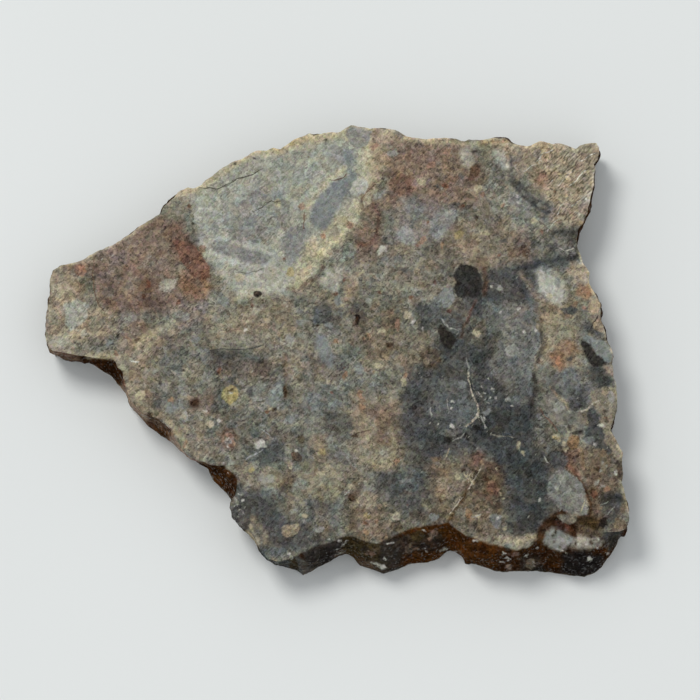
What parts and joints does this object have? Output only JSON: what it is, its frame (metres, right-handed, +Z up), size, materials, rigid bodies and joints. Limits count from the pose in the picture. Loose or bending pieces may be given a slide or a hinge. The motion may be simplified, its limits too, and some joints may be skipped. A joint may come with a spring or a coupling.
{
  "type": "lunar meteorite slice",
  "caption": "Thin sawn slice of grey lunar breccia with light and dark clasts, two flat cut faces and a rough broken edge, lying flat.",
  "frame": {"origin": "centre of the bounding box's base, on the underside, which is the plane the slice rests on", "axes": "+X along the long side, from the narrow tip to the wide end; +Y from the rounded natural front edge to the back edge; +Z up, out of the upper sawn face"},
  "size_m": [0.032, 0.0251, 0.0028],
  "materials": {
    "breccia": "fine-ground saw cut on both faces, rough broken stone on the edge, mottled grey, tan and rust-brown with dark veins"
  },
  "bodies": {
    "root": {"meteorite_slice": "breccia"}
  },
  "joints": []
}
